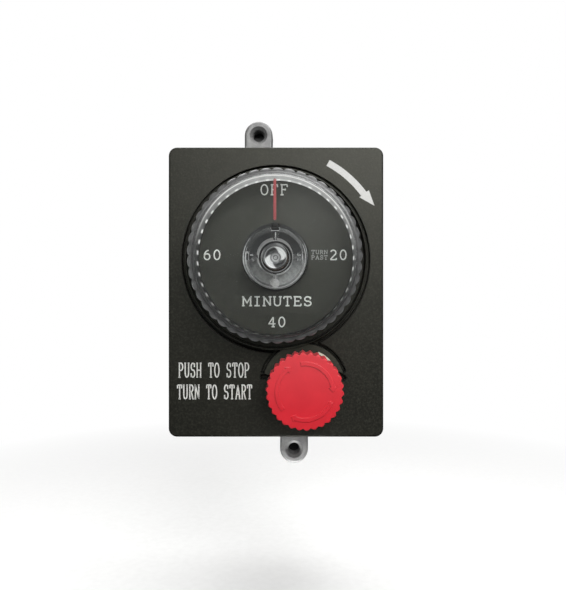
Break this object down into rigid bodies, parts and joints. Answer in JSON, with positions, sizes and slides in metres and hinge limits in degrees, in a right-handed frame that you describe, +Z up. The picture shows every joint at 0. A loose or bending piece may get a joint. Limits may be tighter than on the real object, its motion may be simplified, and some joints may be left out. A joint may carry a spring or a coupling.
{
  "type": "mechanical gas shut-off timer",
  "caption": "Wall-mounted clockwork gas shut-off timer with a clear scalloped dial knob, a red push-to-stop knob and a lugged cast valve body.",
  "frame": {"origin": "on the rear cover's back face, straight behind the faceplate's centre", "axes": "+X to the user's right, +Z up along the faceplate's long side, -Y towards the user and +Y into the wall"},
  "size_m": [0.089, 0.083, 0.1446],
  "materials": {
    "black_casting": "fine-textured dark powder coat on cast metal",
    "foam_rubber": "matt black gasket sheet",
    "zinc_steel": "bright zinc-plated steel",
    "clear_plastic": "clear moulded plastic, polished, slightly smoky",
    "turned_steel": "turned steel, fine lathe marks",
    "bronze": "sintered bronze, matt",
    "brass": "clean rolled or turned brass",
    "spring_steel": "blued spring steel",
    "cast_aluminium": "as-cast aluminium, fine grain",
    "red_plastic": "moulded red plastic, semi-gloss",
    "nitrile": "black nitrile rubber",
    "white_acetal": "white acetal, matt"
  },
  "bodies": {
    "case": {"faceplate": "black_casting", "panel_gasket": "foam_rubber", "faceplate_screws": "zinc_steel", "dial_washer": "zinc_steel", "arbor_bushing": "bronze", "stop_pin": "zinc_steel", "movement_front_plate": "brass", "movement_back_plate": "brass", "movement_pillars": "brass", "movement_spacers": "brass", "movement_screws": "zinc_steel", "mainspring": "spring_steel", "spring_post": "zinc_steel", "hairspring": "spring_steel", "valve_body": "cast_aluminium", "rear_gasket": "foam_rubber", "rear_cover": "cast_aluminium", "cover_screws": "zinc_steel", "valve_spring": "spring_steel", "side_plug": "brass", "stem_guide": "brass", "stem_seal": "nitrile", "estop_bonnet": "brass", "shaft_seal": "nitrile", "bonnet_seal": "nitrile", "estop_spring": "spring_steel"},
    "dial": {"dial_knob": "clear_plastic", "knob_insert": "turned_steel", "main_arbor": "turned_steel", "stop_sector": "zinc_steel", "great_wheel": "brass", "clutch_washer": "spring_steel", "clutch_clip": "spring_steel", "timer_cam": "white_acetal"},
    "second": {"second_arbor": "turned_steel", "second_wheel": "brass"},
    "third": {"third_arbor": "turned_steel", "third_wheel": "brass"},
    "escape": {"escape_arbor": "turned_steel", "escape_wheel": "brass"},
    "balance": {"balance_staff": "turned_steel", "balance_wheel": "brass"},
    "timer_valve": {"valve_stem": "turned_steel", "valve_seal": "nitrile"},
    "stop_slider": {"estop_poppet": "brass", "estop_seal": "nitrile", "estop_washer": "zinc_steel"},
    "stop_head": {"estop_knob": "red_plastic", "estop_shaft": "turned_steel", "estop_pin": "turned_steel", "estop_clip": "spring_steel"}
  },
  "joints": [
    {"name": "dial_turn", "type": "hinge", "parent": "case", "child": "dial", "pos_m": [0, 0, 0.0137], "axis": [0, 1, 0], "range_deg": [0, 270], "deforming": ["mainspring"]},
    {"name": "second_spin", "type": "hinge", "parent": "case", "child": "second", "pos_m": [0, 0, -0.0034], "axis": [0, 1, 0], "range_deg": [-1012.5, 0]},
    {"name": "third_spin", "type": "hinge", "parent": "case", "child": "third", "pos_m": [0.01078, 0, 0.00188], "axis": [0, 1, 0], "range_deg": [0, 3037.5]},
    {"name": "escape_spin", "type": "hinge", "parent": "case", "child": "escape", "pos_m": [0.01567, 0, 0.01048], "axis": [0, 1, 0], "range_deg": [-8100, 0]},
    {"name": "balance_swing", "type": "hinge", "parent": "case", "child": "balance", "pos_m": [0.01599, 0, 0.01948], "axis": [0, 1, 0], "range_deg": [-20, 20], "deforming": ["hairspring"]},
    {"name": "timer_valve_lift", "type": "slide", "parent": "case", "child": "timer_valve", "axis": [-1, 0, 0], "range_m": [0, 0.0025], "deforming": ["valve_spring"]},
    {"name": "stop_push", "type": "slide", "parent": "case", "child": "stop_slider", "axis": [0, 1, 0], "range_m": [0, 0.004], "deforming": ["estop_spring"]},
    {"name": "stop_turn", "type": "hinge", "parent": "stop_slider", "child": "stop_head", "pos_m": [0.0115, 0, -0.0382], "axis": [0, 1, 0], "range_deg": [0, 45]}
  ],
  "couplings": [
    {"joint": "second_spin", "follows": "dial_turn", "ratio": -3.75},
    {"joint": "third_spin", "follows": "dial_turn", "ratio": 11.25},
    {"joint": "escape_spin", "follows": "dial_turn", "ratio": -30},
    {"joint": "timer_valve_lift", "follows": "dial_turn", "m_per_rad": 0.00053052}
  ]
}
